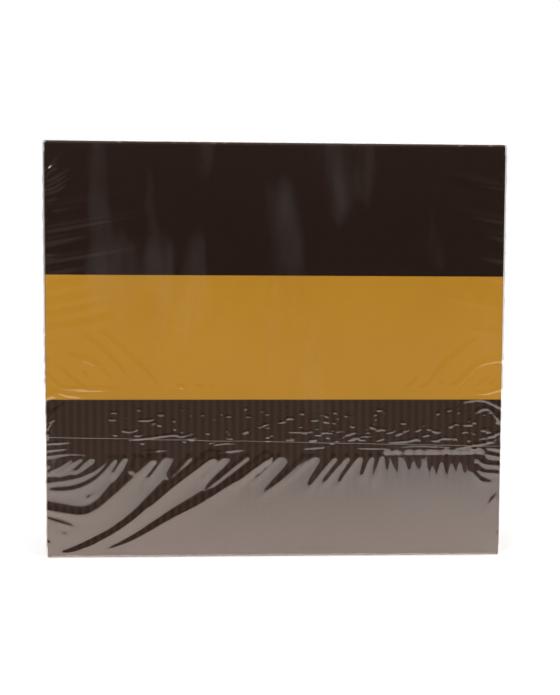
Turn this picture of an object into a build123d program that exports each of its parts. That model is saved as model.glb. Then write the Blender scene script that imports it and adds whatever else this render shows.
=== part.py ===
"""A shut carton of enveloped tea bags in its shrink film, standing on one long narrow side.

The wide printed face looks along -Y and the carton's closed ends look along -X and +X.
The origin is the middle of the film's underside. All sizes are in millimetres.
"""

import os

from build123d import *

# Carton, measured over its board
carton_width = 139.7
carton_depth = 71.7
carton_height = 126.3
board = 0.45
score_radius = 0.7

# Outer end flap: scored at the back panel, glued down, its three cut edges short of the panels
flap_free_setback = 1.4
flap_side_setback = 0.9
flap_taper_length = 14.0
flap_taper = 2.2

# Maker's joint: the underside panel's cut edge stops short of the back panel's face
joint_setback = 0.4

# Shrink film, drawn thick enough to hold the film and the ripples in it
film_gap = 0.05
film_wall = 0.1

# Trim seal down the middle of each end, with the gathered ear at both of its ends
seal_width = 0.9
seal_height = 0.4
ear_length = 10.0
ear_half_width = 4.5
ear_height = 0.25

film_inset = film_gap + film_wall
film_width = carton_width + 2 * film_inset
film_depth = carton_depth + 2 * film_inset
film_height = carton_height + 2 * film_inset
film_radius = score_radius + film_inset
cavity_radius = score_radius + film_gap

upright = (Align.CENTER, Align.CENTER, Align.MIN)
mid_height = film_height / 2


def end_plane(distance):
    """A plane across the right end: local X runs to the back panel, local Y runs up from mid-height."""
    return Plane(origin=(distance, 0, mid_height), x_dir=(0, 1, 0), z_dir=(1, 0, 0))


def flap_outline():
    """The outer end flap's corners, from its score over the free edge and back."""
    hinge = carton_depth / 2 + board
    free = -carton_depth / 2 + flap_free_setback
    side = carton_height / 2 - flap_side_setback
    return [
        (hinge, side),
        (free + flap_taper_length, side),
        (free, side - flap_taper),
        (free, -side + flap_taper),
        (free + flap_taper_length, -side),
        (hinge, -side),
    ]


# The board round the right end flap that is cut back to show the flap's edges
with BuildPart() as flap_margin:
    with BuildSketch(end_plane(carton_width / 2 - board)):
        Rectangle(carton_depth + 2 * board, carton_height + 2 * board)
        with BuildLine():
            Polyline(*flap_outline(), close=True)
        make_face(mode=Mode.SUBTRACT)
    extrude(amount=2 * board)
    mirror(about=Plane.YZ)

# The shut carton with its contents is one closed solid
with BuildPart() as carton:
    with Locations((0, 0, film_inset)):
        Box(carton_width, carton_depth, carton_height, align=upright)
    fillet(carton.edges(), score_radius)
    add(flap_margin.part, mode=Mode.SUBTRACT)
    with Locations((0, carton_depth / 2, film_inset)):
        Box(carton_width, 2 * joint_setback, 2 * board, mode=Mode.SUBTRACT)
carton.part.label = "carton"

# The room inside the film
with BuildPart() as film_cavity:
    with Locations((0, 0, film_wall)):
        Box(
            film_width - 2 * film_wall,
            film_depth - 2 * film_wall,
            film_height - 2 * film_wall,
            align=upright,
        )
    fillet(film_cavity.edges(), cavity_radius)

# Trim seals and their ears, standing on the film's flat ends
with BuildPart() as end_seals:
    seal_reach = mid_height - film_radius
    with BuildSketch(end_plane(film_width / 2)):
        Rectangle(seal_width, 2 * seal_reach)
    extrude(amount=seal_height)
    for up in (1, -1):
        with BuildSketch(end_plane(film_width / 2)):
            with BuildLine():
                Polyline(
                    (-ear_half_width, up * seal_reach),
                    (0, up * (seal_reach - ear_length)),
                    (ear_half_width, up * seal_reach),
                    close=True,
                )
            make_face()
        extrude(amount=ear_height)
    mirror(about=Plane.YZ)

with BuildPart() as film_wrap:
    Box(film_width, film_depth, film_height, align=upright)
    fillet(film_wrap.edges(), film_radius)
    add(end_seals.part)
    add(film_cavity.part, mode=Mode.SUBTRACT)
film_wrap.part.label = "film_wrap"

os.makedirs("parts", exist_ok=True)
for piece in (carton.part, film_wrap.part):
    export_step(piece, f"parts/{piece.label}.step")
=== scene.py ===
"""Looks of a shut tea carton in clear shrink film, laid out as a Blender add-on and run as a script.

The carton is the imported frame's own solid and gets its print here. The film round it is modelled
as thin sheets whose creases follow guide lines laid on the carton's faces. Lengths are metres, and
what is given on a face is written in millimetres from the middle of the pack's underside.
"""

import math
from collections import namedtuple

import bpy
import numpy as np
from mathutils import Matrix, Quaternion, Vector


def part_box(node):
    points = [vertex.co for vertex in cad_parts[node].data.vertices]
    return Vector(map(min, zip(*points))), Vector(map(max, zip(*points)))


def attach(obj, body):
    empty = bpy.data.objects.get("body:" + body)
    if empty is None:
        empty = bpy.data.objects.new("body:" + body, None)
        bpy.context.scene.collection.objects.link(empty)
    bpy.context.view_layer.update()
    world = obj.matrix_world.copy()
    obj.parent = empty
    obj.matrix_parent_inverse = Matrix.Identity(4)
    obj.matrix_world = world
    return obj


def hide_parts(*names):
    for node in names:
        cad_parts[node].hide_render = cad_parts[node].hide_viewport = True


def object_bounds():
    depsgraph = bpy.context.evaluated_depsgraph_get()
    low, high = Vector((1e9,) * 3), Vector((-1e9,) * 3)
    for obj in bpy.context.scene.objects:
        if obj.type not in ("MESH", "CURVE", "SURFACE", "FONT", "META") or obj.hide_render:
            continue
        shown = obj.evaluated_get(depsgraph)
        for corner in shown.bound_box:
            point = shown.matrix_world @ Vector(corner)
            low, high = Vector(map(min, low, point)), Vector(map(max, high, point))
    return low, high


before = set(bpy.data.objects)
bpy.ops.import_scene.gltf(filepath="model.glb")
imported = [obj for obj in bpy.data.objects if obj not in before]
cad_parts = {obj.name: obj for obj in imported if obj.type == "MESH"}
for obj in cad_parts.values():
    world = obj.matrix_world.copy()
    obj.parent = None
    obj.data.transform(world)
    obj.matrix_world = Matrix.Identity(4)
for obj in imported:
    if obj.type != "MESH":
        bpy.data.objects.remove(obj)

bl_info = {
    "name": "Tea Carton in Shrink Film",
    "version": (1, 0, 0),
    "blender": (4, 5, 0),
    "location": "3D View > Sidebar > Tea Carton",
    "description": "Prints a tea carton and wraps it in creased shrink film",
    "category": "Object",
}

MM = 0.001
# The node that does arithmetic, in materials and in Geometry Nodes alike
SUM = "ShaderNodeMath"
CAD_LOW, CAD_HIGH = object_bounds()
CARTON_LOW, CARTON_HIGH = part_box("carton")

# The film lies this far outside the carton, and its flat faces stand at these places
FILM_INSET = CAD_HIGH.y - CARTON_HIGH.y
FILM_X = CARTON_HIGH.x + FILM_INSET
FILM_Y = CAD_HIGH.y
FILM_TOP = CAD_HIGH.z
SCORE_RADIUS = 0.7 * MM
FILM_RADIUS = SCORE_RADIUS + FILM_INSET

# A place on a face of the pack is (across, up) as seen from outside
Face = namedtuple("Face", "origin across up")
FACES = {
    "front": Face(Vector((0, -FILM_Y, 0)), Vector((1, 0, 0)), Vector((0, 0, 1))),
    "right": Face(Vector((FILM_X, 0, 0)), Vector((0, 1, 0)), Vector((0, 0, 1))),
    "back": Face(Vector((0, FILM_Y, 0)), Vector((-1, 0, 0)), Vector((0, 0, 1))),
    "left": Face(Vector((-FILM_X, 0, 0)), Vector((0, -1, 0)), Vector((0, 0, 1))),
    "top": Face(Vector((0, 0, FILM_TOP)), Vector((1, 0, 0)), Vector((0, 1, 0))),
}

# A crease runs through its points on a face, in millimetres, and fades at each end that isn't held
Crease = namedtuple("Crease", "face points width height held fade", defaults=("", 0.45))
CREASE_LAYERS = 6

# Heights between which the lap's small creases lie, and of the lap's edge at the left and at the right
LAP_LOW, LAP_HIGH = 31 * MM, 48 * MM
LAP_LEFT, LAP_RIGHT = 37.3 * MM, 34.2 * MM

EAR_HALF_WIDTH, EAR_LENGTH, EAR_LIFT, EAR_ROWS = 4.5 * MM, 10.0 * MM, 0.2 * MM, 24
CARD_REACH = 0.45
CAMERA_TARGET = Vector((1.2 * MM, -FILM_Y, 64.7 * MM))


def linear(hex_colour):
    """A linear RGBA colour from an sRGB hex value."""
    channels = [int(hex_colour[i : i + 2], 16) / 255 for i in (1, 3, 5)]
    return (*[c / 12.92 if c <= 0.04045 else ((c + 0.055) / 1.055) ** 2.4 for c in channels], 1.0)


def add_node(tree, kind, settings=None, inputs=None):
    """Adds a node, sets its properties, and sets or links its inputs by name or number."""
    node = tree.nodes.new(kind)
    for name, value in (settings or {}).items():
        setattr(node, name, value)
    for key, value in (inputs or {}).items():
        if isinstance(value, bpy.types.NodeSocket):
            tree.links.new(value, node.inputs[key])
        else:
            node.inputs[key].default_value = value
    return node


def new_material(name):
    """An empty node material and its output node."""
    material = bpy.data.materials.new(name)
    material.use_nodes = True
    material.node_tree.nodes.clear()
    output = add_node(material.node_tree, "ShaderNodeOutputMaterial")
    return material, material.node_tree, output


def new_piece(name, corners, edges=(), quads=(), **attributes):
    """An object made of the given mesh, with each attribute's number stored at each corner."""
    mesh = bpy.data.meshes.new(name)
    mesh.from_pydata(corners, edges, quads)
    for attribute, numbers in attributes.items():
        mesh.attributes.new(attribute, "FLOAT", "POINT").data.foreach_set("value", numbers)
    piece = bpy.data.objects.new(name, mesh)
    bpy.context.collection.objects.link(piece)
    return piece


# ---------------------------------------------------------------- settings


def length(name, description, metres):
    """A length that the user can change."""
    return bpy.props.FloatProperty(name=name, description=description, default=metres, unit="LENGTH")


def angle(name, description, degrees):
    """An angle that the user can change."""
    default = math.radians(degrees)
    return bpy.props.FloatProperty(name=name, description=description, default=default, subtype="ANGLE")


def colour(name, description, hex_colour):
    """A colour that the user can change."""
    default = linear(hex_colour)
    return bpy.props.FloatVectorProperty(
        name=name, description=description, size=4, subtype="COLOR", default=default
    )


class CartonSettings(bpy.types.PropertyGroup):
    """Sizes and colours of the carton's print."""

    band_bottom: length("Band Bottom", "Height of the band's lower edge", 48.75 * MM)
    band_top: length("Band Top", "Height of the band's upper edge", 86.5 * MM)
    stripe_pitch: length("Stripe Pitch", "Distance between two stripes", 2.34 * MM)
    ground_colour: colour("Ground", "Ground of the print", "#23160f")
    band_colour: colour("Band", "Mustard band", "#b48226")
    stripe_colour: colour("Stripe", "Lighter fine stripes", "#33231a")


class FilmSettings(bpy.types.PropertyGroup):
    """Sizes of the shrink film's relief and its clearness."""

    front_cell: length("Front Cell", "Mesh cell on the wide front face", 0.5 * MM)
    other_cell: length("Other Cell", "Mesh cell on the other faces", 1.0 * MM)
    relief: bpy.props.FloatProperty(
        name="Relief", description="Multiplies the height of every crease", default=1.0, min=0.0
    )
    slack_height: length("Slack Height", "Height of the soft waves", 0.02 * MM)
    slack_size: length("Slack Size", "Length of the soft waves", 14 * MM)
    seed: bpy.props.IntProperty(name="Seed", description="Seed of the scattered creases", default=7)
    gloss: bpy.props.FloatProperty(
        name="Gloss", description="Share of light mirrored head on", default=0.085, min=0.0, max=1.0
    )


class SealSettings(bpy.types.PropertyGroup):
    """Sizes of the beads of fused film."""

    bead_radius: length("Bead Radius", "Radius of a bead of fused film", 0.2 * MM)
    lap_radius: length("Lap Radius", "Radius of the lap's cut edge", 0.05 * MM)
    wander: length("Wander", "How far a bead strays from its line", 0.5 * MM)
    wander_size: length("Wander Size", "Distance over which a bead strays", 9 * MM)
    hem_height: length("Hem Height", "Height of the front's lowest bead", 0.7 * MM)


class StageSettings(bpy.types.PropertyGroup):
    """The camera's place and the lights' level."""

    azimuth: angle("Azimuth", "Angle round the pack", -2.77)
    elevation: angle("Elevation", "Angle above the floor", 3.98)
    roll: angle("Roll", "Turn about its own axis", 0.29)
    distance: length("Distance", "From the camera to the front face", 0.35)
    lens: bpy.props.FloatProperty(
        name="Lens", description="Focal length in millimetres", default=59.6, unit="CAMERA"
    )
    lamp_power: bpy.props.FloatProperty(
        name="Lamp Power", description="Power of the key lamp", default=7.0, unit="POWER"
    )
    card_front: length("Card Front", "From the pack to the card's front edge", 0.18)


# ---------------------------------------------------------------- carton


def printed_board():
    """Coated paperboard, offset printed: a satin ink film over a brown ground, one flat band and fine
    stripes below it, with bare grey-brown board at its cut edges and ink rubbed thin along its scores."""
    settings = bpy.context.scene.tea_carton
    material, tree, output = new_material("offset_printed_coated_paperboard")
    place = add_node(tree, "ShaderNodeTexCoord").outputs["Object"]
    x, y, z = add_node(tree, "ShaderNodeSeparateXYZ", inputs={0: place}).outputs
    half_x, half_y = CARTON_HIGH.x, CARTON_HIGH.y
    middle = (CARTON_HIGH.z + CARTON_LOW.z) / 2

    # How far a place lies from the carton's middle planes
    off_x, off_y = [add_node(tree, SUM, {"operation": "ABSOLUTE"}, {0: v}).outputs[0] for v in (x, y)]
    off_z = add_node(tree, SUM, {"operation": "SUBTRACT"}, {0: z, 1: middle}).outputs[0]
    off_z = add_node(tree, SUM, {"operation": "ABSOLUTE"}, {0: off_z}).outputs[0]

    # Ink density drifts a little over centimetres, its grain shows below a millimetre, and wear over a few
    drift, grain, wear = [
        add_node(
            tree, "ShaderNodeTexNoise", inputs={"Vector": place, "Scale": scale, "Detail": detail}
        ).outputs[0]
        for scale, detail in ((28.0, 2.0), (1 / (0.6 * MM), 3.0), (1 / (3 * MM), 4.0))
    ]

    # Masks that are 1 on one side of a limit: the cut edges of the end flap lie between its face and the
    # board under it, away from the scores, and the scores lie where two faces meet
    limits = {
        "end": ("GREATER_THAN", off_x, half_x - 0.72 * MM),
        "flap": ("GREATER_THAN", off_x, half_x - 0.42 * MM),
        "under_face": ("LESS_THAN", off_x, half_x - 0.04 * MM),
        "off_hinge": ("LESS_THAN", y, half_y - 0.8 * MM),
        "below_band": ("LESS_THAN", z, settings.band_bottom),
        "below_top": ("LESS_THAN", z, settings.band_top),
        "near_x": ("GREATER_THAN", off_x, half_x - 0.45 * MM),
        "near_y": ("GREATER_THAN", off_y, half_y - 0.45 * MM),
        "near_z": ("GREATER_THAN", off_z, middle - 0.75 * MM),
        "worn": ("GREATER_THAN", wear, 0.6),
    }
    mask = {
        name: add_node(tree, SUM, {"operation": test}, {0: value, 1: limit}).outputs[0]
        for name, (test, value, limit) in limits.items()
    }

    # Stripes run along X on the wide faces and along Y on the ends, and each is a rounded wave, so that
    # it is soft-edged like a fine screened line
    inside = add_node(tree, SUM, {"operation": "SUBTRACT"}, {0: 1.0, 1: mask["end"]}).outputs[0]
    along = add_node(tree, SUM, {"operation": "MULTIPLY"}, {0: x, 1: inside}).outputs[0]
    along = add_node(
        tree, SUM, {"operation": "MULTIPLY_ADD"}, {0: y, 1: mask["end"], 2: along}
    ).outputs[0]
    stripe = along
    for operation, *numbers in (
        ("MULTIPLY", 2 * math.pi / settings.stripe_pitch),
        ("COSINE",),
        ("MULTIPLY_ADD", 0.5, 0.5),
        ("POWER", 1.4),
        ("MULTIPLY", mask["below_band"]),
    ):
        inputs = dict(enumerate((stripe, *numbers)))
        stripe = add_node(tree, SUM, {"operation": operation}, inputs).outputs[0]

    above = add_node(tree, SUM, {"operation": "SUBTRACT"}, {0: 1.0, 1: mask["below_band"]}).outputs[0]
    band = add_node(tree, SUM, {"operation": "MULTIPLY"}, {0: above, 1: mask["below_top"]}).outputs[0]
    ink = tuple(settings.ground_colour)
    for share, colour in ((stripe, settings.stripe_colour), (band, settings.band_colour)):
        inputs = {0: share, 6: ink, 7: tuple(colour)}
        ink = add_node(tree, "ShaderNodeMix", {"data_type": "RGBA"}, inputs).outputs[2]
    thick = add_node(tree, SUM, {"operation": "MULTIPLY_ADD"}, {0: drift, 1: 0.16, 2: 0.92}).outputs[0]
    fine = add_node(tree, SUM, {"operation": "MULTIPLY_ADD"}, {0: grain, 1: 0.08, 2: -0.04}).outputs[0]
    density = add_node(tree, SUM, {"operation": "ADD"}, {0: thick, 1: fine}).outputs[0]
    ink = add_node(tree, "ShaderNodeVectorMath", {"operation": "SCALE"}, {0: ink, "Scale": density})

    # Bare board shows at the cut edges, and the ink is rubbed thin over the scores
    cut = mask["end"]
    for name in ("flap", "under_face", "off_hinge"):
        cut = add_node(tree, SUM, {"operation": "MULTIPLY"}, {0: cut, 1: mask[name]}).outputs[0]
    met = mask["near_x"]
    for name in ("near_y", "near_z"):
        met = add_node(tree, SUM, {"operation": "ADD"}, {0: met, 1: mask[name]}).outputs[0]
    score = add_node(tree, SUM, {"operation": "GREATER_THAN"}, {0: met, 1: 1.5}).outputs[0]
    rubbed = add_node(tree, SUM, {"operation": "MULTIPLY"}, {0: score, 1: mask["worn"]}).outputs[0]
    rubbed = add_node(tree, SUM, {"operation": "MULTIPLY"}, {0: rubbed, 1: 0.35}).outputs[0]
    colour = ink.outputs[0]
    for share, bare in ((cut, linear("#8d7a66")), (rubbed, linear("#9a8570"))):
        inputs = {0: share, 6: colour, 7: bare}
        colour = add_node(tree, "ShaderNodeMix", {"data_type": "RGBA"}, inputs).outputs[2]

    relief = add_node(
        tree, "ShaderNodeBump", inputs={"Height": grain, "Strength": 0.3, "Distance": 0.01 * MM}
    )
    surface = add_node(
        tree,
        "ShaderNodeBsdfPrincipled",
        inputs={
            "Base Color": colour,
            "Roughness": 0.42,
            "Specular IOR Level": 0.1,
            "Normal": relief.outputs[0],
        },
    )
    tree.links.new(surface.outputs[0], output.inputs[0])
    return material


class TEACARTON_OT_print(bpy.types.Operator):
    """Gives the carton its printed board"""

    bl_idname = "teacarton.print"
    bl_label = "Print Carton"
    bl_options = {"REGISTER", "UNDO"}

    def execute(self, context):
        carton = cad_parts["carton"]
        material = printed_board()
        for slot in carton.material_slots:
            slot.material = material
        return {"FINISHED"}


# ---------------------------------------------------------------- film


def shrink_film():
    """Polyolefin shrink film, cast and drawn: clear, mirror-glossy on both of its faces, with faint
    rub marks that haze it and a crinkle too fine to model."""
    settings = bpy.context.scene.tea_film
    material, tree, output = new_material("clear_polyolefin_shrink_film")
    place = add_node(tree, "ShaderNodeTexCoord").outputs["Object"]

    crinkle = add_node(
        tree, "ShaderNodeTexNoise", inputs={"Vector": place, "Scale": 1 / (3.0 * MM), "Detail": 1.0}
    )
    relief = add_node(
        tree, "ShaderNodeBump", inputs={"Height": crinkle.outputs[0], "Strength": 0.01, "Distance": 0.02 * MM}
    ).outputs[0]

    # Schlick's rule, since a thin sheet mirrors alike from both of its sides
    facing = add_node(tree, "ShaderNodeLayerWeight", inputs={"Blend": 0.5, "Normal": relief})
    facing = facing.outputs["Facing"]
    grazing = add_node(tree, SUM, {"operation": "POWER"}, {0: facing, 1: 5.0}).outputs[0]
    mirrored = add_node(
        tree,
        SUM,
        {"operation": "MULTIPLY_ADD"},
        {0: grazing, 1: 1 - settings.gloss, 2: settings.gloss},
    ).outputs[0]

    gloss = add_node(
        tree,
        "ShaderNodeBsdfAnisotropic",
        inputs={"Color": linear("#ffffff"), "Roughness": 0.03, "Normal": relief},
    )
    clear = add_node(tree, "ShaderNodeBsdfTransparent", inputs={"Color": (0.98, 0.98, 0.98, 1)})
    film = add_node(
        tree, "ShaderNodeMixShader", inputs={0: mirrored, 1: clear.outputs[0], 2: gloss.outputs[0]}
    )

    # Rub marks run up and down, a few centimetres apart
    stretched = add_node(
        tree, "ShaderNodeMapping", inputs={"Vector": place, "Scale": (60.0, 60.0, 16.0)}
    ).outputs[0]
    rubs = add_node(tree, "ShaderNodeTexNoise", inputs={"Vector": stretched, "Scale": 1.0, "Detail": 3.0})
    haze = add_node(
        tree,
        "ShaderNodeMapRange",
        inputs={"Value": rubs.outputs[0], "From Min": 0.56, "From Max": 0.8, "To Min": 0.0, "To Max": 0.035},
    ).outputs[0]
    veil = add_node(tree, "ShaderNodeBsdfDiffuse", inputs={"Color": linear("#f2f0ee")})
    surface = add_node(tree, "ShaderNodeMixShader", inputs={0: haze, 1: film.outputs[0], 2: veil.outputs[0]})
    tree.links.new(surface.outputs[0], output.inputs[0])
    return material


def grid_lines(low, high, cell, radius):
    """Places of mesh lines between two ends, with extra lines over the rounding at each end."""
    rounding = [radius * t for t in (0.0, 0.35, 0.7)]
    count = max(2, round((high - low - 2 * radius) / cell) + 1)
    return np.array(
        [low + r for r in rounding]
        + list(np.linspace(low + radius, high - radius, count))
        + [high - r for r in reversed(rounding)]
    )


def film_sheet(name, lines, sides):
    """A sheet over the chosen sides of a box with rounded edges, on the mesh lines along X, Y and Z."""
    low = np.array([-FILM_X, -FILM_Y, 0.0])
    high = np.array([FILM_X, FILM_Y, FILM_TOP])
    corners, quads = [], []
    for axis, end in sides:
        first, second = [a for a in range(3) if a != axis]
        if end < 0:
            first, second = second, first
        u, v = np.meshgrid(lines[first], lines[second], indexing="ij")
        points = np.zeros((*u.shape, 3))
        points[..., first], points[..., second] = u, v
        points[..., axis] = high[axis] if end > 0 else low[axis]
        number = len(corners) + np.arange(u.size).reshape(u.shape)
        corners.extend(points.reshape(-1, 3))
        ring = [number[:-1, :-1], number[1:, :-1], number[1:, 1:], number[:-1, 1:]]
        quads.append(np.stack([r.ravel() for r in ring], -1))
    corners = np.array(corners)
    quads = np.concatenate(quads)

    # Corners shared by two sides become one, and the box's edges are rounded
    _, first_seen, merged = np.unique(
        np.round(corners / (0.001 * MM)).astype(np.int64), axis=0, return_index=True, return_inverse=True
    )
    corners = corners[first_seen]
    quads = merged.ravel()[quads]
    inner = np.clip(corners, low + FILM_RADIUS, high - FILM_RADIUS)
    outward = corners - inner
    outward /= np.maximum(np.linalg.norm(outward, axis=1, keepdims=True), 1e-12)
    corners = inner + outward * FILM_RADIUS

    # Quads are turned so that each faces away from the middle of the pack
    middle = (low + high) / 2
    edge_a = corners[quads[:, 1]] - corners[quads[:, 0]]
    edge_b = corners[quads[:, 3]] - corners[quads[:, 0]]
    inward = np.einsum("ij,ij->i", np.cross(edge_a, edge_b), corners[quads[:, 0]] - middle) < 0
    quads[inward] = quads[inward][:, ::-1]

    # The film can move only where nothing presses on it, which is everywhere but on the underside
    loose = np.clip((corners[:, 2] - 0.3 * MM) / (1.2 * MM), 0, 1)
    return new_piece(name, corners.tolist(), quads=quads.tolist(), loose=loose)


def smooth_path(points, step=0.5):
    """Points about a step apart on a smooth line through the given ones."""
    points = np.array(points, float)
    padded = np.vstack([2 * points[0] - points[1], points, 2 * points[-1] - points[-2]])
    path = []
    for before, start, end, after in zip(padded, padded[1:], padded[2:], padded[3:]):
        count = max(2, int(np.linalg.norm(end - start) / step))
        t = np.linspace(0, 1, count, endpoint=False)[:, None]
        path.append(
            0.5
            * (
                2 * start
                + (end - before) * t
                + (2 * before - 5 * start + 4 * end - after) * t**2
                + (3 * start - before - 3 * end + after) * t**3
            )
        )
    return np.vstack([*path, points[-1:]])


def crease_guides(creases):
    """Wire meshes that hold the creases' lines, dealt into layers so that neighbours add up."""
    guides = []
    for layer in range(CREASE_LAYERS):
        places, edges, heights, widths = [], [], [], []
        for crease in creases[layer::CREASE_LAYERS]:
            face = FACES[crease.face]
            path = smooth_path(crease.points)
            along = np.linspace(0, 1, len(path))
            rise = 1.0 if "start" in crease.held else np.clip(along / 0.3, 0, 1) ** 0.8
            fall = 1.0 if "end" in crease.held else np.clip((1 - along) / crease.fade, 0, 1)
            first = len(places)
            places += [face.origin + MM * (face.across * float(u) + face.up * float(v)) for u, v in path]
            edges += [(first + i, first + i + 1) for i in range(len(path) - 1)]
            heights += list(crease.height * MM * rise * fall * np.ones(len(path)))
            widths += [crease.width * MM] * len(path)
        name = f"crease_guide_{layer}"
        guides.append(new_piece(name, places, edges, crease_height=heights, crease_width=widths))
    return guides


def open_tree(name, objects, sizes):
    """A Geometry Nodes tree with named inputs, and its inputs' sockets."""
    tree = bpy.data.node_groups.new(name, "GeometryNodeTree")
    kinds = {"Geometry": "Geometry"} | dict.fromkeys(objects, "Object") | dict.fromkeys(sizes, "Float")
    for socket, kind in (kinds | {"Material": "Material"}).items():
        tree.interface.new_socket(socket, in_out="INPUT", socket_type=f"NodeSocket{kind}")
    tree.interface.new_socket("Geometry", in_out="OUTPUT", socket_type="NodeSocketGeometry")
    return tree, add_node(tree, "NodeGroupInput").outputs


def close_tree(tree, geometry, material):
    """Shades the result smooth, makes it real and gives it its material."""
    smooth = add_node(tree, "GeometryNodeSetShadeSmooth", inputs={"Geometry": geometry})
    real = add_node(tree, "GeometryNodeRealizeInstances", inputs={"Geometry": smooth.outputs[0]})
    finished = add_node(
        tree, "GeometryNodeSetMaterial", inputs={"Geometry": real.outputs[0], "Material": material}
    )
    add_node(tree, "NodeGroupOutput", inputs={"Geometry": finished.outputs[0]})


def film_relief_tree():
    """Geometry Nodes that raise a sheet along its normals by creases and by soft slack."""
    layers = [f"Creases {layer}" for layer in range(CREASE_LAYERS)]
    sizes = ("Relief", "Slack Height", "Slack Size", "Slack Seed")
    tree, group = open_tree("film_relief", layers, sizes)
    height, width, loose = [
        add_node(tree, "GeometryNodeInputNamedAttribute", {"data_type": "FLOAT"}, {"Name": name}).outputs[0]
        for name in ("crease_height", "crease_width", "loose")
    ]

    rise = 0.0
    for layer in layers:
        lines = add_node(tree, "GeometryNodeObjectInfo", inputs={"Object": group[layer]}).outputs["Geometry"]
        distance = add_node(tree, "GeometryNodeProximity", {"target_element": "EDGES"}, {0: lines})
        nearest = add_node(tree, "GeometryNodeSampleNearest", {"domain": "POINT"}, {0: lines})
        here_high, here_wide = [
            add_node(
                tree,
                "GeometryNodeSampleIndex",
                {"data_type": "FLOAT", "domain": "POINT"},
                {"Geometry": lines, "Value": stored, "Index": nearest.outputs[0]},
            ).outputs[0]
            for stored in (height, width)
        ]
        # The crest is drawn between a point and a bell, as tight film bends over a fold
        crest = distance.outputs["Distance"]
        for operation, *number in (("DIVIDE", here_wide), ("POWER", 1.6), ("MULTIPLY", -1.0), ("EXPONENT",)):
            inputs = dict(enumerate((crest, *number)))
            crest = add_node(tree, SUM, {"operation": operation}, inputs).outputs[0]
        crest = add_node(tree, SUM, {"operation": "MULTIPLY"}, {0: here_high, 1: crest}).outputs[0]
        rise = add_node(tree, SUM, {"operation": "ADD"}, {0: rise, 1: crest}).outputs[0]
    rise = add_node(tree, SUM, {"operation": "MULTIPLY"}, {0: rise, 1: group["Relief"]}).outputs[0]

    place = add_node(tree, "GeometryNodeInputPosition").outputs[0]
    scale = add_node(tree, SUM, {"operation": "DIVIDE"}, {0: 1.0, 1: group["Slack Size"]}).outputs[0]
    slack = add_node(
        tree,
        "ShaderNodeTexNoise",
        {"noise_dimensions": "4D"},
        {"Vector": place, "W": group["Slack Seed"], "Scale": scale, "Detail": 1.0},
    ).outputs[0]
    slack = add_node(tree, SUM, {"operation": "MULTIPLY_ADD"}, {0: slack, 1: 2.0, 2: -1.0}).outputs[0]
    for operation, factor in (("MULTIPLY", group["Slack Height"]), ("ADD", rise), ("MULTIPLY", loose)):
        slack = add_node(tree, SUM, {"operation": operation}, {0: slack, 1: factor}).outputs[0]

    normal = add_node(tree, "GeometryNodeInputNormal").outputs[0]
    offset = add_node(tree, "ShaderNodeVectorMath", {"operation": "SCALE"}, {0: normal, "Scale": slack})
    raised = add_node(
        tree, "GeometryNodeSetPosition", inputs={"Geometry": group["Geometry"], "Offset": offset.outputs[0]}
    )
    close_tree(tree, raised.outputs[0], group["Material"])
    return tree


def apply_tree(piece, tree, values):
    """Runs a Geometry Nodes tree on a piece and keeps its result as the piece's plain mesh."""
    modifier = piece.modifiers.new(tree.name, "NODES")
    modifier.node_group = tree
    sockets = {item.name: item.identifier for item in tree.interface.items_tree if item.in_out == "INPUT"}
    for name, value in values.items():
        modifier[sockets[name]] = value
    bpy.context.view_layer.update()
    evaluated = piece.evaluated_get(bpy.context.evaluated_depsgraph_get())
    result = bpy.data.meshes.new_from_object(evaluated, preserve_all_data_layers=False)
    piece.modifiers.clear()
    bare = piece.data
    piece.data = result
    result.name = piece.name
    bpy.data.meshes.remove(bare)
    if len(result.vertices) == 0:
        raise RuntimeError(f"{tree.name} left nothing of {piece.name}")


def front_creases(rows):
    """Creases on the front face, from rows of points, width, height and, if it is held, its held ends."""
    return [Crease("front", *row) for row in rows]


def leaning_fold(points, width, height, held="", fade=0.6):
    """A fold whose upper flank lies along the given line, drawn from its lower end to its upper one."""
    line = np.array(points, float)
    along = np.gradient(line, axis=0)
    along /= np.linalg.norm(along, axis=1, keepdims=True)
    crest = line + 0.55 * width * np.stack([along[:, 1], -along[:, 0]], 1)
    return Crease("front", [tuple(place) for place in crest], width, height, held, fade)


def long_sweeps():
    """The broad folds that sweep up from the lower left corner to the lap."""
    both = "start end"
    return [
        leaning_fold(
            [(-67.3, 0.4), (-56.7, 4.6), (-45.9, 10.8), (-33.2, 21.6), (-20.5, 31.5)],
            1.7,
            0.42,
            both,
        ),
        leaning_fold([(-55.3, 1.8), (-44, 6.1), (-31.8, 13.1), (-21.4, 18.8), (-3, 31)], 1.9, 0.46, both),
        leaning_fold(
            [(-71, 16.4), (-64, 14.9), (-58.5, 14.4), (-54.5, 16.2), (-50.5, 19.6), (-46, 24), (-39, 31)],
            2.3,
            0.34,
            both,
        ),
        leaning_fold(
            [(-71, 21.4), (-62.8, 21.5), (-57.2, 23.4), (-52.9, 26.7), (-49.5, 31)],
            1.2,
            0.15,
            both,
        ),
        leaning_fold([(-71, 23.6), (-61.4, 24.8), (-54.8, 27.7), (-51.6, 31)], 0.9, 0.09, both),
        leaning_fold([(-70.5, 26.0), (-65.7, 28.6), (-62.2, 31)], 0.7, 0.07, both),
        leaning_fold([(-66, 26.6), (-59.6, 31)], 0.6, 0.06, both),
        leaning_fold([(-61, 27), (-56.6, 31)], 0.6, 0.06, both),
        leaning_fold([(-59.4, 9.4), (-65.5, 11.6), (-71, 13.4)], 0.9, -0.16, "end"),
        leaning_fold([(-62.6, 7.4), (-67.6, 9.6)], 0.8, -0.16),
        leaning_fold([(-58.6, 17.8), (-54.4, 20.8)], 0.6, 0.09),
        leaning_fold([(-38, 16.2), (-32.5, 21.5), (-25.9, 26.7), (-19.6, 31.4)], 1.5, 0.22, both),
    ]


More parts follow.
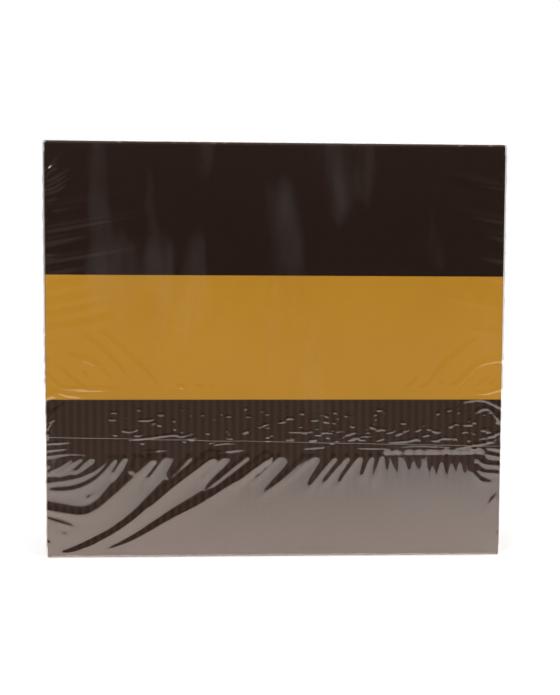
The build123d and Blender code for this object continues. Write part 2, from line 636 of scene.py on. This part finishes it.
def hanging_folds(random):
    """Folds that hang from the lap: long and leaning at the left, short and upright at the right."""
    leaning = [
        [(-51, 24.4), (-46.6, 31.2)],
        [(-45, 26), (-42.6, 31.2)],
        [(-40.3, 22.8), (-34.6, 31.2)],
        [(-33.4, 24.2), (-26.6, 31.4)],
        [(-24.6, 22.8), (-16.6, 31.2)],
        [(-22.4, 20.8), (-9.2, 31.6)],
        [(-14.4, 20.8), (-3.4, 31.2)],
        [(-8.6, 22.4), (0.6, 31.4)],
        [(-6, 17.6), (8.4, 31.2)],
        [(-1.6, 20.4), (11, 31.4)],
        [(8.2, 18.8), (12.4, 25), (17.4, 31.2)],
        [(12.4, 20.2), (16.4, 25.4), (21.2, 31.2)],
        [(17.8, 19.8), (20.8, 25.4), (24.8, 31.2)],
        [(25.6, 22.7), (28.6, 31.2)],
        [(29.4, 21.6), (31.6, 31.4)],
    ]
    creases = []
    for line in leaning:
        width = random.uniform(0.85, 1.1)
        creases.append(leaning_fold(line, width, 0.16 * width, "end"))
    # An upright one is a groove that runs out downwards, so that its floor looks up
    for across in (34.6, 37.7, 41.5, 44.6, 47.2, 49.6, 52.9, 55.8, 58.4, 60.5, 63.2):
        length = random.uniform(5.2, 9.5)
        sway = random.uniform(-0.5, 0.5)
        points = [(across + sway, 31.6), (across, 31.0 - 0.5 * length), (across - sway, 31.0 - length)]
        width = random.uniform(0.6, 0.9)
        creases.append(Crease("front", points, width, -0.22 * width, "start", 1.0))
    return creases


def band_creases():
    """Folds that fan up from the lap's upper edge over the band, at the left and at the right."""
    rows = [
        ([(-63.5, 62.2), (-54.8, 59.5), (-49.2, 53.1), (-46.8, 52.6)], 0.55, 0.17),
        ([(-59, 69), (-48.7, 59.5), (-43.5, 52.9), (-41, 52.5)], 0.6, 0.17),
        ([(-53, 69.5), (-39.8, 57.1), (-35.5, 52.7), (-32, 52.4)], 0.6, 0.19),
        ([(-66, 58.4), (-59.6, 53.1), (-57, 52.7)], 0.5, 0.15),
        ([(-71, 57.6), (-65.7, 52.7), (-62.9, 52.2), (-43, 51.6)], 0.6, 0.16, "start"),
        ([(-64.8, 55), (-60.5, 52.6)], 0.4, 0.12),
        ([(-58.6, 57.6), (-56, 53)], 0.4, 0.10),
        ([(-71, 48.8), (-66.6, 51), (-62.5, 50.2), (-54, 49.7)], 0.55, 0.16, "start"),
        ([(-71, 47.2), (-68, 49.8), (-64, 49.2)], 0.45, 0.13, "start"),
        ([(-30, 52.8), (-26.5, 52.3)], 0.4, 0.16),
        ([(-24, 52.6), (-21.5, 52.4)], 0.4, 0.14),
        ([(-20.5, 52.5), (-18, 52.3)], 0.4, 0.10),
        ([(39, 52), (41.7, 53), (45.2, 57.6)], 0.45, 0.13),
        ([(43, 51.9), (46.6, 52.9), (53, 60.3), (63, 68.2)], 0.6, 0.19),
        ([(52, 52), (56.3, 53.7), (60.1, 57.5), (63.9, 60.1), (71, 61.2)], 0.6, 0.19, "end"),
        ([(61, 51.8), (66.6, 55.7)], 0.45, 0.13),
        ([(63.6, 51.5), (69, 55.1)], 0.45, 0.13),
        ([(59, 51.3), (64.4, 50.8), (71, 53)], 0.55, 0.15, "end"),
        ([(49.6, 52.3), (52.2, 54.5)], 0.4, 0.10),
        ([(13.8, 52.5), (16.2, 52.3)], 0.4, 0.10),
        ([(56, 47.8), (63.4, 48.9), (71, 45.6)], 0.6, 0.16, "end"),
        ([(60.2, 44.2), (65.4, 46), (70.4, 40.9)], 0.5, 0.14, "end"),
    ]
    return front_creases(rows)


def lap_creases(random):
    """Short folds caught under the lap: a few long ones, and scattered ones in two patches."""
    rows = [
        ([(-46, 36.4), (-39.3, 37.1), (-30.8, 38.1), (-28.5, 37.6), (-20.4, 40.1)], 0.3, 0.07),
        ([(-42, 32.8), (-31, 33.6)], 0.35, 0.035),
        ([(-24, 31.6), (-12, 33.3), (-5, 33.3)], 0.4, 0.035),
        ([(-22, 34.2), (-16, 35.4), (-10, 35.2)], 0.25, 0.03),
        ([(35.5, 33.9), (43.4, 34.5), (57.5, 34.1)], 0.2, 0.022),
        ([(24, 33.9), (36, 33.6)], 0.22, 0.03),
        ([(2.6, 38.8), (13.6, 39)], 0.25, 0.06),
        ([(14, 39.2), (22, 39.6)], 0.22, 0.05),
        ([(8, 33.7), (16, 34.3)], 0.3, 0.04),
        ([(34, 35.6), (41, 36.0), (43.6, 37.2), (40.4, 38.6)], 0.28, 0.06),
        ([(33.2, 38.3), (36.4, 39.2), (38.6, 41.6)], 0.24, 0.06),
        ([(22, 36), (26.5, 37.4), (31, 37.6)], 0.25, 0.05),
        ([(19, 36.2), (22.6, 38.6), (25.6, 39)], 0.25, 0.05),
        ([(15, 37.6), (18, 38.8), (23, 39.2)], 0.22, 0.04),
        ([(55, 33.6), (60, 34.4), (66, 35.6), (70.5, 38)], 0.3, 0.08),
        ([(-72, 36.5), (-67.4, 44.7), (-62.4, 48.4)], 0.4, 0.14, "start"),
        ([(-72, 35.6), (-68.4, 41.5), (-65, 46.2)], 0.35, 0.12, "start"),
        ([(-71, 38.4), (-68.4, 38.6)], 0.35, 0.1, "start"),
        ([(-72, 35.2), (-61, 36)], 0.3, 0.06, "start"),
        ([(-72, 33.0), (-62.6, 34)], 0.3, 0.04, "start"),
        ([(-72, 31.2), (-63, 32.2), (-56, 31.8)], 0.3, 0.03, "start"),
    ]
    creases = front_creases(rows)
    for low, high, count in ((-52, 14, 70), (14, 67, 105)):
        leaning = (-4, 26) if low < 0 else (-35, 60)
        for _ in range(count):
            length = random.uniform(0.8, 4.2)
            start = np.array([random.uniform(low, high), random.uniform(35.5, 46.5)])
            tilt = math.radians(random.uniform(*leaning))
            end = start + length * np.array([math.cos(tilt), math.sin(tilt)])
            bow = random.uniform(-0.25, 0.25) * length * np.array([-math.sin(tilt), math.cos(tilt)])
            points = [tuple(start), tuple((start + end) / 2 + bow), tuple(end)]
            width = random.uniform(0.2, 0.28)
            creases.append(Crease("front", points, width, width * random.uniform(0.12, 0.42)))
    return creases


def edge_fans(random):
    """Folds that spread from the pack's upright edges, where the film turns round the carton."""
    rows = [
        ([(-72, 112.5), (-67, 118.9), (-64.0, 122.2)], 0.45, 0.26, "start"),
        ([(-70, 112.5), (-66, 114.8), (-61, 118)], 0.45, 0.24),
        ([(-72, 110.6), (-66.6, 111.8), (-61.0, 115.4)], 0.45, 0.25, "start"),
        ([(-68.5, 117.3), (-64.5, 119.6)], 0.4, 0.22),
        ([(-70, 107.4), (-64.5, 109)], 0.5, 0.16),
        ([(-70, 91.4), (-65, 92.2)], 0.45, 0.2),
        ([(64.5, 36.6), (71.5, 39.6)], 0.45, 0.13, "end"),
        ([(65, 33.9), (71.5, 33.0)], 0.5, 0.12, "end"),
        ([(64.6, 31.9), (71.5, 30.5)], 0.5, 0.11, "end"),
        ([(62.2, 30.4), (65.0, 28.6), (71.5, 28.2)], 0.55, 0.1, "end"),
        ([(61.5, 29.0), (64.0, 26.2), (71.5, 25.6)], 0.6, 0.1, "end"),
        ([(60.6, 27.5), (63.6, 23.4), (68.5, 22.6)], 0.9, 0.13),
        ([(65.5, 14.6), (68.9, 19.8)], 0.5, 0.16),
        ([(64.2, 12.4), (66.4, 15.4)], 0.5, 0.12),
        ([(65.6, 6), (69.2, 10.6)], 0.5, 0.16),
        ([(67, 3.8), (70.8, 9)], 0.5, 0.2),
        ([(-15, 1.7), (4, 2.1), (26, 1.9), (44, 1.3)], 0.5, 0.16),
        ([(-71, 6.5), (-67.5, 3.2)], 0.5, 0.16, "start"),
    ]
    creases = front_creases(rows)
    for i in range(9):
        height = 106 - 4.6 * i + random.uniform(-1, 1)
        reach = random.uniform(12, 44)
        points = [(-71, height - 1), (-66, height), (-70 + reach, height + 0.16 * reach)]
        width = random.uniform(0.8, 1.3)
        creases.append(Crease("front", points, width, random.uniform(0.10, 0.16), "start", 0.8))
    for i in range(7):
        height = 112 - 7 * i + random.uniform(-2, 2)
        reach = random.uniform(8, 24)
        points = [(71, height), (70 - reach, height + 0.2 * reach)]
        width = random.uniform(0.8, 1.2)
        creases.append(Crease("front", points, width, random.uniform(0.08, 0.12), "start", 0.8))
    # The far faces are creased by the same rule from both of their upright edges
    for face, half in (("back", 70), ("left", 36), ("right", 36)):
        for side in (-1, 1):
            height = 4.0
            while height < 122:
                reach = random.uniform(6, 0.55 * half)
                slope = np.interp(height, [0, 60, 126], [-0.5, 0.1, 0.5]) + random.uniform(-0.15, 0.15)
                start = (side * (half + 1), height)
                middle = (side * (half - 0.45 * reach), height + 0.3 * slope * reach)
                end = (side * (half - reach), height + slope * reach)
                width = random.uniform(0.9, 1.8)
                creases.append(Crease(face, [start, middle, end], width, 0.12 * width, "start", 0.8))
                height += random.uniform(4, 11)
    return creases


def ear_fans(random):
    """Folds on the ends and the top that gather to the ears of the trim seals."""
    creases = []
    for face in ("left", "right"):
        for ear, sign in ((126, -1), (0, 1)):
            for angle in (-66, -48, -30, -14, 12, 28, 47, 64):
                turn = math.radians(angle + random.uniform(-5, 5))
                reach = random.uniform(16, 34)
                start = (1.5 * math.sin(turn), ear + sign * 3)
                end = (reach * math.sin(turn), ear + sign * (3 + reach * math.cos(turn)))
                creases.append(Crease(face, [start, end], random.uniform(0.9, 1.5), 0.18, "start", 0.8))
    for side in (-1, 1):
        for angle in (-62, -40, -18, 15, 38, 60):
            turn = math.radians(angle + random.uniform(-6, 6))
            reach = random.uniform(14, 36)
            start = (side * 70, 1.5 * math.sin(turn))
            end = (side * (70 - reach * math.cos(turn)), reach * math.sin(turn))
            creases.append(Crease("top", [start, end], random.uniform(0.9, 1.6), 0.14, "start", 0.8))
    return creases


def vent_ring():
    """The rim round one of the pin holes that let the air out as the film shrinks."""
    centre, radius = (61.4, 34.2), 0.9
    turns = np.linspace(0, 2 * math.pi, 13)
    points = [(centre[0] + radius * math.cos(t), centre[1] + radius * math.sin(t)) for t in turns]
    return [Crease("front", points, 0.3, 0.1, "start end")]


def fused_film():
    """Shrink film melted to a bead by a hot wire: still glossy, but milky where it is thick."""
    material, tree, output = new_material("fused_film_bead")
    milk = add_node(tree, "ShaderNodeBsdfDiffuse", inputs={"Color": linear("#cfc8c2")})
    clear = add_node(tree, "ShaderNodeBsdfTransparent")
    body = add_node(tree, "ShaderNodeMixShader", inputs={0: 0.45, 1: clear.outputs[0], 2: milk.outputs[0]})
    gloss = add_node(tree, "ShaderNodeBsdfAnisotropic", inputs={"Roughness": 0.12})
    edge = add_node(tree, "ShaderNodeFresnel", inputs={"IOR": 1.5})
    surface = add_node(
        tree, "ShaderNodeMixShader", inputs={0: edge.outputs[0], 1: body.outputs[0], 2: gloss.outputs[0]}
    )
    tree.links.new(surface.outputs[0], output.inputs[0])
    return material


def bead_tree():
    """Geometry Nodes that run an uneven bead of fused film along a line."""
    tree, group = open_tree("fused_bead", (), ("Bead Radius", "Wander", "Wander Size"))
    line = add_node(tree, "GeometryNodeMeshToCurve", inputs={"Mesh": group["Geometry"]})
    place = add_node(tree, "GeometryNodeInputPosition").outputs[0]
    scale = add_node(tree, SUM, {"operation": "DIVIDE"}, {0: 1.0, 1: group["Wander Size"]})
    noise = add_node(
        tree, "ShaderNodeTexNoise", inputs={"Vector": place, "Scale": scale.outputs[0], "Detail": 2.0}
    )
    even = add_node(
        tree,
        "ShaderNodeVectorMath",
        {"operation": "SUBTRACT"},
        {0: noise.outputs["Color"], 1: (0.5, 0.5, 0.5)},
    )
    drift = add_node(
        tree, "ShaderNodeVectorMath", {"operation": "SCALE"}, {0: even.outputs[0], "Scale": group["Wander"]}
    )
    wandering = add_node(
        tree, "GeometryNodeSetPosition", inputs={"Geometry": line.outputs[0], "Offset": drift.outputs[0]}
    )
    ring = add_node(
        tree, "GeometryNodeCurvePrimitiveCircle", inputs={"Resolution": 8, "Radius": group["Bead Radius"]}
    )
    bead = add_node(
        tree,
        "GeometryNodeCurveToMesh",
        inputs={"Curve": wandering.outputs[0], "Profile Curve": ring.outputs[0], "Fill Caps": True},
    )
    close_tree(tree, bead.outputs[0], group["Material"])
    return tree


def wire(name, start, end, step=0.5 * MM):
    """A straight wire mesh from one place to another, cut into short edges."""
    count = int((Vector(end) - Vector(start)).length / step)
    places = [Vector(start).lerp(Vector(end), i / count) for i in range(count + 1)]
    return new_piece(name, places, [(i, i + 1) for i in range(count)])


def ear_sheets(name):
    """The four ears: a corner of spare film folded flat on the end at each end of its trim seal."""
    rows = EAR_ROWS
    corners, quads = [], []
    for side in (-1, 1):
        for base, inward in ((FILM_TOP - FILM_RADIUS, -1), (FILM_RADIUS, 1)):
            first = len(corners)
            for row in range(rows + 1):
                share = row / rows
                for column in range(rows + 1):
                    along = (2 * column / rows - 1) * EAR_HALF_WIDTH * (1 - share)
                    bulge = EAR_LIFT * (1 - (along / EAR_HALF_WIDTH) ** 2) * (1 - share)
                    outward = side * (FILM_X + 0.1 * EAR_LIFT + bulge)
                    corners.append((outward, along, base + inward * EAR_LENGTH * share))
            for row in range(rows):
                for column in range(rows):
                    a = first + row * (rows + 1) + column
                    quad = (a, a + 1, a + rows + 2, a + rows + 1)
                    quads.append(quad if side * inward > 0 else quad[::-1])
    return new_piece(name, corners, quads=quads, loose=np.ones(len(corners)))


class TEACARTON_OT_seals(bpy.types.Operator):
    """Runs fused film down both ends and along the foot of the front face, and draws the lap's cut edge"""

    bl_idname = "teacarton.seals"
    bl_label = "Add Seals"
    bl_options = {"REGISTER", "UNDO"}

    def execute(self, context):
        settings = context.scene.tea_seals
        tree = bead_tree()
        material = fused_film()
        radius = settings.bead_radius
        beads = [
            wire(
                "film_hem",
                (-FILM_X + 1.5 * MM, -FILM_Y, settings.hem_height),
                (FILM_X - 1.5 * MM, -FILM_Y, settings.hem_height),
            )
        ]
        for name, side in (("film_seal_left", -1), ("film_seal_right", 1)):
            across = side * (CAD_HIGH.x - 1.6 * radius)
            beads.append(wire(name, (across, 0, FILM_RADIUS), (across, 0, FILM_TOP - FILM_RADIUS)))
        beads.append(wire("film_lap", (-FILM_X, -FILM_Y, LAP_LEFT), (FILM_X, -FILM_Y, LAP_RIGHT)))
        for bead in beads:
            values = {
                "Bead Radius": settings.lap_radius if bead.name == "film_lap" else radius,
                "Wander": settings.wander,
                "Wander Size": settings.wander_size,
                "Material": material,
            }
            apply_tree(bead, tree, values)
            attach(bead, "root")
            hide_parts("film_wrap")
        return {"FINISHED"}


class TEACARTON_OT_film(bpy.types.Operator):
    """Wraps the carton in creased shrink film with its folded ears"""

    bl_idname = "teacarton.film"
    bl_label = "Wrap Film"
    bl_options = {"REGISTER", "UNDO"}

    def execute(self, context):
        settings = context.scene.tea_film
        random = np.random.RandomState(settings.seed)
        creases = (
            long_sweeps()
            + hanging_folds(random)
            + band_creases()
            + lap_creases(random)
            + edge_fans(random)
            + ear_fans(random)
            + vent_ring()
        )
        guides = crease_guides(creases)
        tree = film_relief_tree()
        material = shrink_film()

        wide = grid_lines(-FILM_X, FILM_X, settings.front_cell, FILM_RADIUS)
        tall = grid_lines(0, FILM_TOP, settings.front_cell, FILM_RADIUS)
        # The lap's creases are finer than the rest, and get mesh lines twice as close
        fine = (tall > LAP_LOW) & (tall < LAP_HIGH)
        tall = np.sort(np.concatenate([tall, tall[fine] + settings.front_cell / 2]))
        rim = np.array([-FILM_Y + share * FILM_RADIUS for share in (0, 0.35, 0.7, 1)])
        front = film_sheet("film_front", (wide, rim, tall), [(1, -1), (0, -1), (0, 1), (2, -1), (2, 1)])

        wide = grid_lines(-FILM_X, FILM_X, settings.other_cell, FILM_RADIUS)
        tall = grid_lines(0, FILM_TOP, settings.other_cell, FILM_RADIUS)
        deep = grid_lines(-FILM_Y, FILM_Y, settings.other_cell, FILM_RADIUS)
        deep = deep[deep > -FILM_Y + FILM_RADIUS - 1e-7]
        body = film_sheet("film_body", (wide, deep, tall), [(1, 1), (0, -1), (0, 1), (2, -1), (2, 1)])
        ears = ear_sheets("film_ears")

        values = {f"Creases {i}": guide for i, guide in enumerate(guides)}
        values |= {
            "Relief": settings.relief,
            "Slack Height": settings.slack_height,
            "Slack Size": settings.slack_size,
            "Slack Seed": float(settings.seed),
            "Material": material,
        }
        for piece in (front, body, ears):
            apply_tree(piece, tree, values)
            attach(piece, "root")
            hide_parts("film_wrap")
        for guide in guides:
            bpy.data.meshes.remove(guide.data)
        return {"FINISHED"}


# ---------------------------------------------------------------- stage


def white_card():
    """Matt white card: it fills the view with white and keeps the pack's shadow. To mirrored rays it also
    gives out a warm light of its own, brighter than white near the pack, which isn't the lamps' doing:
    it is set to give the film its pale veil."""
    material, tree, output = new_material("matt_white_card")
    path = add_node(tree, "ShaderNodeLightPath").outputs
    matt = add_node(tree, "ShaderNodeBsdfDiffuse", inputs={"Color": linear("#e6e6e6")})
    seen = add_node(tree, SUM, {"operation": "MULTIPLY"}, {0: path["Is Camera Ray"], 1: 0.35})
    white = add_node(tree, "ShaderNodeEmission", inputs={"Strength": seen.outputs[0]})
    place = add_node(tree, "ShaderNodeTexCoord").outputs["Object"]
    ahead = add_node(tree, "ShaderNodeSeparateXYZ", inputs={0: place}).outputs["Y"]
    nearness = add_node(
        tree,
        "ShaderNodeMapRange",
        inputs={"Value": ahead, "From Min": -0.22, "From Max": -0.05, "To Min": 0.5, "To Max": 1.85},
    ).outputs[0]
    mirrored = path["Is Glossy Ray"]
    for operation, other in (("MAXIMUM", path["Is Transmission Ray"]), ("MULTIPLY", nearness)):
        mirrored = add_node(tree, SUM, {"operation": operation}, {0: mirrored, 1: other}).outputs[0]
    warm = add_node(tree, "ShaderNodeEmission", inputs={"Color": linear("#ffe3d2"), "Strength": mirrored})
    glow = add_node(tree, "ShaderNodeAddShader", inputs={0: white.outputs[0], 1: warm.outputs[0]})
    both = add_node(tree, "ShaderNodeAddShader", inputs={0: matt.outputs[0], 1: glow.outputs[0]})
    tree.links.new(both.outputs[0], output.inputs[0])
    return material


def studio_world():
    """A white room to the eye and an even grey to matt surfaces. Mirrored rays don't find that white, but
    a dim studio that grows lighter overhead."""
    world = bpy.data.worlds.new("studio")
    world.use_nodes = True
    tree = world.node_tree
    tree.nodes.clear()
    output = add_node(tree, "ShaderNodeOutputWorld")
    path = add_node(tree, "ShaderNodeLightPath").outputs
    direction = add_node(tree, "ShaderNodeTexCoord").outputs["Generated"]
    height = add_node(tree, "ShaderNodeSeparateXYZ", inputs={0: direction}).outputs["Z"]
    overhead = add_node(
        tree,
        "ShaderNodeMapRange",
        {"interpolation_type": "SMOOTHSTEP"},
        {"Value": height, "From Min": 0.0, "From Max": 0.7, "To Min": 0.012, "To Max": 0.5},
    ).outputs[0]
    # Below the horizon mirrored rays find a faint glow
    below = add_node(
        tree,
        "ShaderNodeMapRange",
        {"interpolation_type": "SMOOTHSTEP"},
        {"Value": height, "From Min": 0.0, "From Max": -0.09, "To Min": 0.0, "To Max": 0.16},
    ).outputs[0]
    level = add_node(tree, SUM, {"operation": "ADD"}, {0: overhead, 1: below}).outputs[0]
    dim = add_node(tree, "ShaderNodeBackground", inputs={"Color": linear("#ffe0c8"), "Strength": level})
    shown, white = [
        add_node(tree, "ShaderNodeBackground", inputs={"Color": linear("#ffffff"), "Strength": strength})
        for strength in (0.55, 1.0)
    ]
    for ray, other in (("Is Glossy Ray", dim), ("Is Camera Ray", white)):
        inputs = {0: path[ray], 1: shown.outputs[0], 2: other.outputs[0]}
        shown = add_node(tree, "ShaderNodeMixShader", inputs=inputs)
    tree.links.new(shown.outputs[0], output.inputs[0])
    return world


def area_lamp(name, place, target, size, power):
    """A square soft lamp aimed at a point."""
    data = bpy.data.lights.new(name, "AREA")
    data.size = size
    data.energy = power
    lamp = bpy.data.objects.new(name, data)
    lamp.location = place
    lamp.rotation_euler = (Vector(target) - Vector(place)).to_track_quat("-Z", "Y").to_euler()
    bpy.context.collection.objects.link(lamp)
    return lamp


class TEACARTON_OT_stage(bpy.types.Operator):
    """Sets up the white card, the soft lights and the camera"""

    bl_idname = "teacarton.stage"
    bl_label = "Set Stage"
    bl_options = {"REGISTER", "UNDO"}

    def execute(self, context):
        settings = context.scene.tea_stage
        front_edge = -FILM_Y - settings.card_front
        reach = CARD_REACH
        corners = [(-reach, front_edge, 0), (reach, front_edge, 0), (reach, reach, 0), (-reach, reach, 0)]
        card = new_piece("white_card", corners, quads=[(0, 1, 2, 3)])
        card.data.materials.append(white_card())

        middle = (0, 0, FILM_TOP / 2)
        area_lamp("key_lamp", (-0.55, -0.75, 0.75), middle, 0.5, settings.lamp_power)
        area_lamp("fill_lamp", (0.7, -0.5, 0.6), middle, 0.6, 0.6 * settings.lamp_power)
        area_lamp("back_lamp", (0.1, 0.8, 0.8), middle, 0.6, 0.6 * settings.lamp_power)
        context.scene.world = studio_world()

        azimuth, elevation = settings.azimuth, settings.elevation
        back = Vector(
            (
                math.sin(azimuth) * math.cos(elevation),
                -math.cos(azimuth) * math.cos(elevation),
                math.sin(elevation),
            )
        )
        data = bpy.data.cameras.new("camera")
        data.lens = settings.lens
        data.clip_start = 0.01
        camera = bpy.data.objects.new("camera", data)
        camera.rotation_mode = "QUATERNION"
        camera.location = CAMERA_TARGET + back * settings.distance
        turn = Quaternion(back, settings.roll)
        camera.rotation_quaternion = turn @ (-back).to_track_quat("-Z", "Y")
        context.collection.objects.link(camera)
        context.scene.camera = camera
        context.scene.view_settings.view_transform = "Standard"
        return {"FINISHED"}


# ---------------------------------------------------------------- panel


OPERATORS = (TEACARTON_OT_print, TEACARTON_OT_film, TEACARTON_OT_seals, TEACARTON_OT_stage)


class TEACARTON_PT_panel(bpy.types.Panel):
    """Lists the steps that build the pack, with their sizes and colours"""

    bl_idname = "TEACARTON_PT_panel"
    bl_label = "Tea Carton"
    bl_space_type = "VIEW_3D"
    bl_region_type = "UI"
    bl_category = "Tea Carton"

    def draw(self, context):
        scene = context.scene
        groups = (scene.tea_carton, scene.tea_film, scene.tea_seals, scene.tea_stage)
        for operator, group in zip(OPERATORS, groups):
            box = self.layout.box()
            for name in type(group).__annotations__:
                box.prop(group, name)
            box.operator(operator.bl_idname)


CLASSES = (CartonSettings, FilmSettings, SealSettings, StageSettings, *OPERATORS, TEACARTON_PT_panel)


def register():
    for kind in CLASSES:
        bpy.utils.register_class(kind)
    bpy.types.Scene.tea_carton = bpy.props.PointerProperty(type=CartonSettings)
    bpy.types.Scene.tea_film = bpy.props.PointerProperty(type=FilmSettings)
    bpy.types.Scene.tea_seals = bpy.props.PointerProperty(type=SealSettings)
    bpy.types.Scene.tea_stage = bpy.props.PointerProperty(type=StageSettings)


def unregister():
    del bpy.types.Scene.tea_stage
    del bpy.types.Scene.tea_seals
    del bpy.types.Scene.tea_film
    del bpy.types.Scene.tea_carton
    for kind in reversed(CLASSES):
        bpy.utils.unregister_class(kind)


def main():
    register()
    bpy.ops.teacarton.print()
    bpy.ops.teacarton.film()
    bpy.ops.teacarton.seals()
    bpy.ops.teacarton.stage()


if __name__ == "__main__":
    main()
